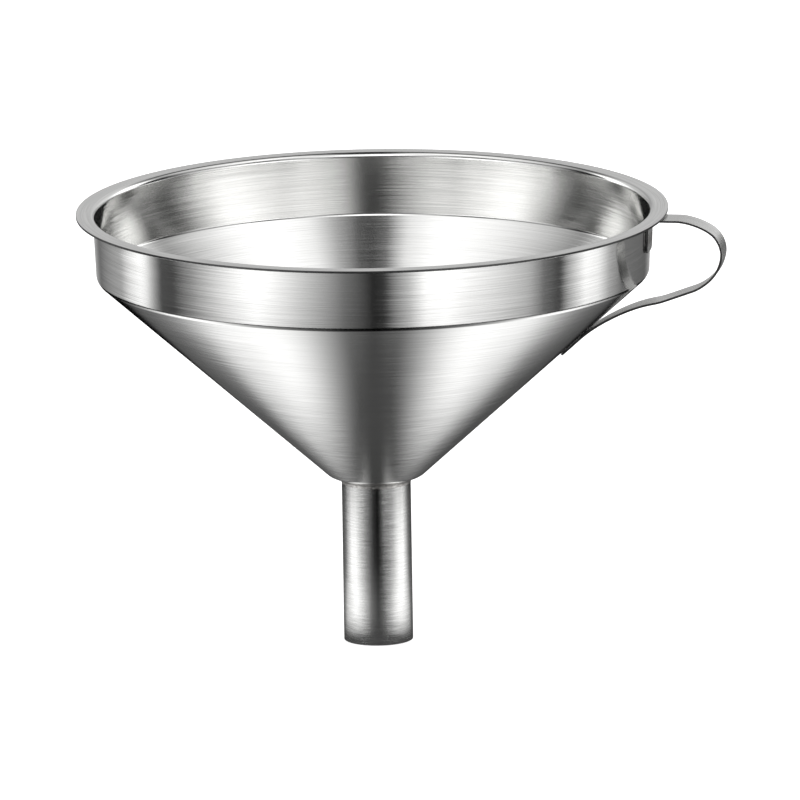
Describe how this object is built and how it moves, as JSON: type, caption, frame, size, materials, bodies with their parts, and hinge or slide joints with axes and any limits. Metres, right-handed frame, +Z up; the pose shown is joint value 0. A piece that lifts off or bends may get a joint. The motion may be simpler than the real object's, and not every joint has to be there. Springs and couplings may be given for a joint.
{
  "type": "canning funnel",
  "caption": "Small sheet steel kitchen funnel: open conical bowl with a straight collar and flat rim, a long narrow welded spout and a bent strap handle.",
  "frame": {"origin": "centre of the spout's outlet, on the funnel's axis", "axes": "+Z up the funnel's axis towards the open rim, +X towards the handle"},
  "size_m": [0.143, 0.13, 0.0965],
  "materials": {
    "brushed_sheet": "fine brushing round the axis, semi-bright",
    "brushed_tube": "fine brushing round the tube, semi-bright",
    "strap_steel": "plain rolled strip, satin",
    "weld_metal": "satin, slightly darker than the sheet"
  },
  "bodies": {
    "root": {"funnel_bowl": "brushed_sheet", "spout_tube": "brushed_tube", "spout_weld": "weld_metal", "handle_strap": "strap_steel", "upper_spot_welds": "weld_metal", "lower_spot_welds": "weld_metal"}
  },
  "joints": []
}
